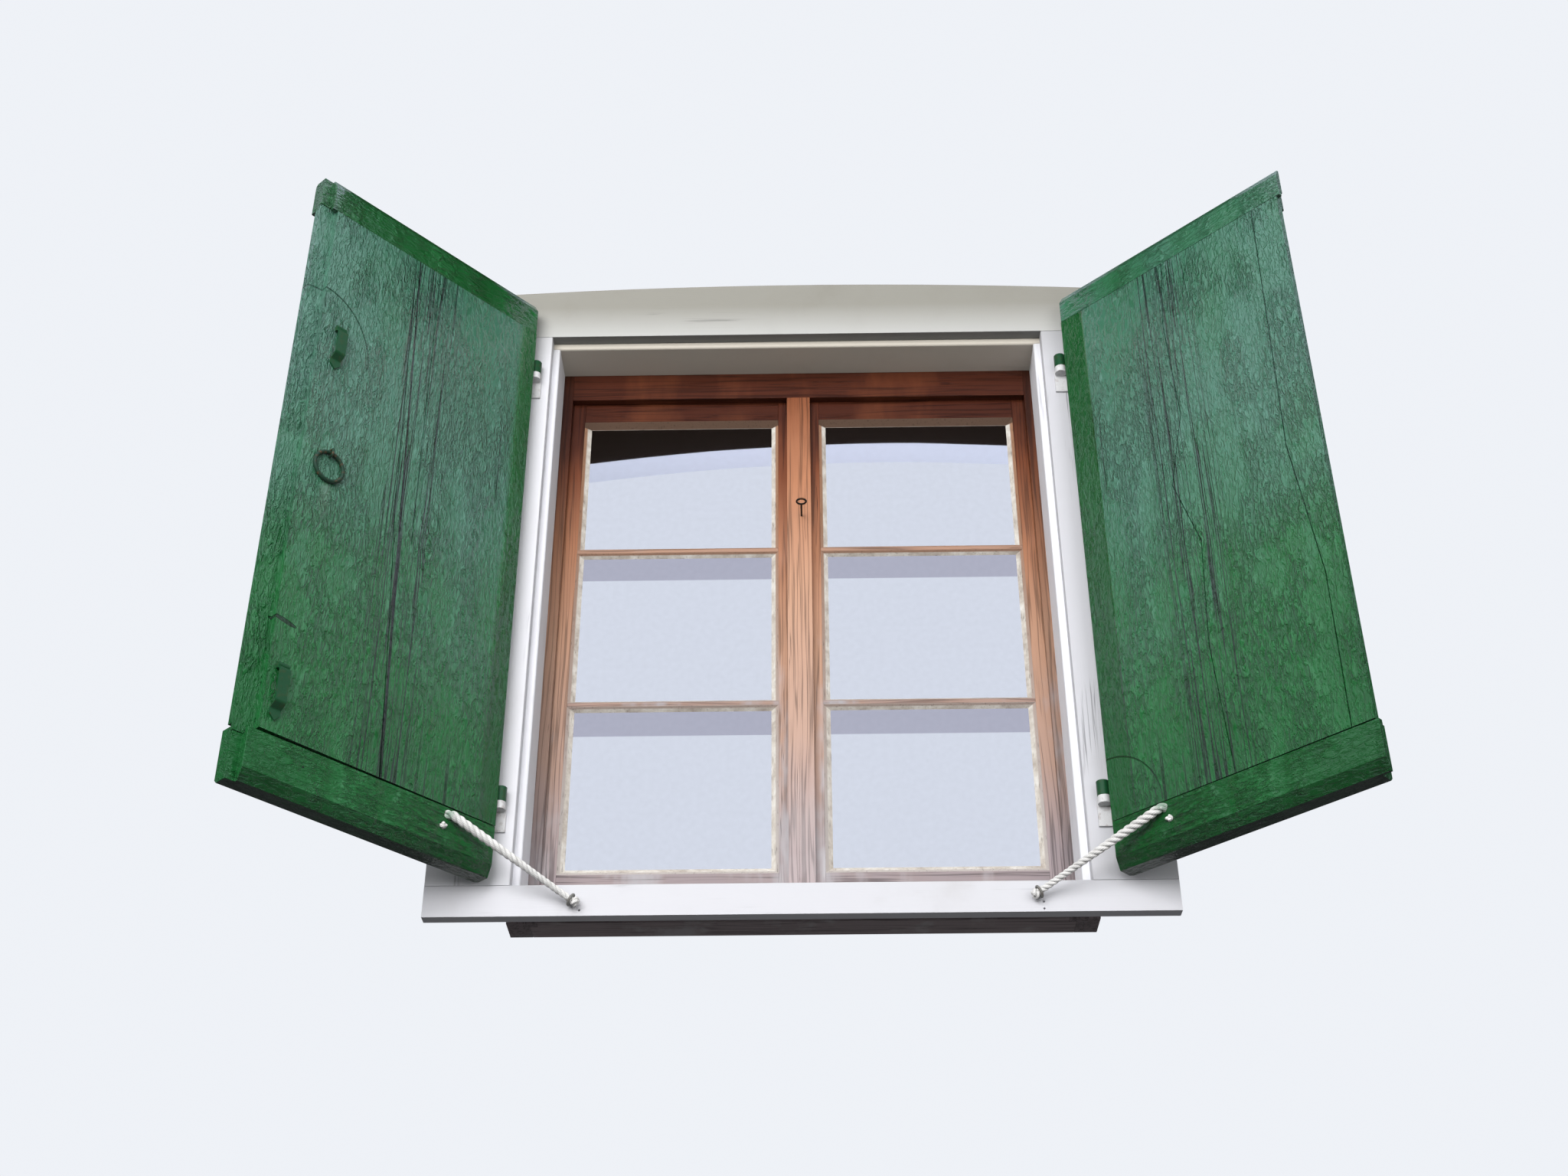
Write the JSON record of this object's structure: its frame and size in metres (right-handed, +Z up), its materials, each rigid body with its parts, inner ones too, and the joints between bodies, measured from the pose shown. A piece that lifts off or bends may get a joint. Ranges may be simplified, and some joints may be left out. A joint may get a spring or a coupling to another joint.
{
  "type": "casement window with shutters",
  "caption": "Two-leaf boarded shutters on pintle hinges, held open by ropes, on a face frame with a pine casement window.",
  "frame": {"origin": "bottom centre of the sill board's front face", "axes": "+X to the right along the wall seen from outside, +Y into the wall, +Z up"},
  "size_m": [1.619, 0.5222, 1.2429],
  "materials": {
    "green_paint": "weathered satin paint",
    "green_iron": "satin paint",
    "white_paint": "weathered matt paint",
    "white_iron": "weathered paint",
    "varnished_pine": "worn varnish",
    "glazing_putty": "weathered",
    "window_glass": "polished",
    "dark_iron": "weathered",
    "white_rope": "laid strands"
  },
  "bodies": {
    "frame": {"sill_board": "white_paint", "left_jamb_board": "white_paint", "right_jamb_board": "white_paint", "head_board": "white_paint", "left_lining": "white_paint", "right_lining": "white_paint", "head_lining": "white_paint", "lower_lining": "white_paint", "window_head": "varnished_pine", "window_left_jamb": "varnished_pine", "window_right_jamb": "varnished_pine", "window_bottom_rail": "varnished_pine", "mullion": "varnished_pine", "mullion_eye": "dark_iron", "sash_pintles": "dark_iron", "turn_button_screw": "dark_iron", "left_shutter_pintles": "white_iron", "left_shutter_rope": "white_rope", "left_shutter_sill_eye": "dark_iron", "right_shutter_pintles": "white_iron", "right_shutter_rope": "white_rope", "right_shutter_sill_eye": "dark_iron", "pintle_screws": "dark_iron"},
    "left_shutter": {"left_shutter_hinge_board": "green_paint", "left_shutter_free_board": "green_paint", "left_shutter_top_rail": "green_paint", "left_shutter_bottom_rail": "green_paint", "left_shutter_upper_strap": "green_iron", "left_shutter_lower_strap": "green_iron", "left_shutter_strap_screws": "green_iron", "ring_staple": "green_iron", "upper_keeper": "green_iron", "lower_keeper": "green_iron"},
    "right_shutter": {"right_shutter_hinge_board": "green_paint", "right_shutter_free_board": "green_paint", "right_shutter_top_rail": "green_paint", "right_shutter_bottom_rail": "green_paint", "right_shutter_upper_strap": "green_iron", "right_shutter_lower_strap": "green_iron", "right_shutter_strap_screws": "green_iron"},
    "ring": {"ring_pull": "green_iron"},
    "left_sash": {"left_sash_outer_stile": "varnished_pine", "left_sash_inner_stile": "varnished_pine", "left_sash_top_rail": "varnished_pine", "left_sash_bottom_rail": "varnished_pine", "left_sash_bars": "varnished_pine", "left_sash_panes": "window_glass", "left_sash_putty": "glazing_putty", "left_sash_knuckles": "dark_iron"},
    "right_sash": {"right_sash_outer_stile": "varnished_pine", "right_sash_inner_stile": "varnished_pine", "right_sash_top_rail": "varnished_pine", "right_sash_bottom_rail": "varnished_pine", "right_sash_bars": "varnished_pine", "right_sash_panes": "window_glass", "right_sash_putty": "glazing_putty", "right_sash_knuckles": "dark_iron"},
    "button": {"turn_button": "dark_iron"}
  },
  "joints": [
    {"name": "left_shutter_hinge", "type": "hinge", "parent": "frame", "child": "left_shutter", "pos_m": [-0.464, -0.012, 0.6], "axis": [0, 0, 1], "range_deg": [0, 132.4], "deforming": ["left_shutter_rope"]},
    {"name": "right_shutter_hinge", "type": "hinge", "parent": "frame", "child": "right_shutter", "pos_m": [0.4672, -0.012, 0.6], "axis": [0, 0, 1], "range_deg": [-135.9, 0], "deforming": ["right_shutter_rope"]},
    {"name": "ring_lift", "type": "hinge", "parent": "left_shutter", "child": "ring", "pos_m": [-0.71758, -0.31061, 0.6365], "axis": [-0.6743, -0.7385, 0], "range_deg": [0, 90]},
    {"name": "left_sash_hinge", "type": "hinge", "parent": "frame", "child": "left_sash", "pos_m": [-0.421, 0.1592, 0.56], "axis": [0, 0, 1], "range_deg": [0, 90]},
    {"name": "right_sash_hinge", "type": "hinge", "parent": "frame", "child": "right_sash", "pos_m": [0.425, 0.1592, 0.56], "axis": [0, 0, 1], "range_deg": [-90, 0]},
    {"name": "button_turn", "type": "hinge", "parent": "frame", "child": "button", "pos_m": [0.002, 0.156, 0.56], "axis": [0, 1, 0], "range_deg": [0, 90]}
  ]
}
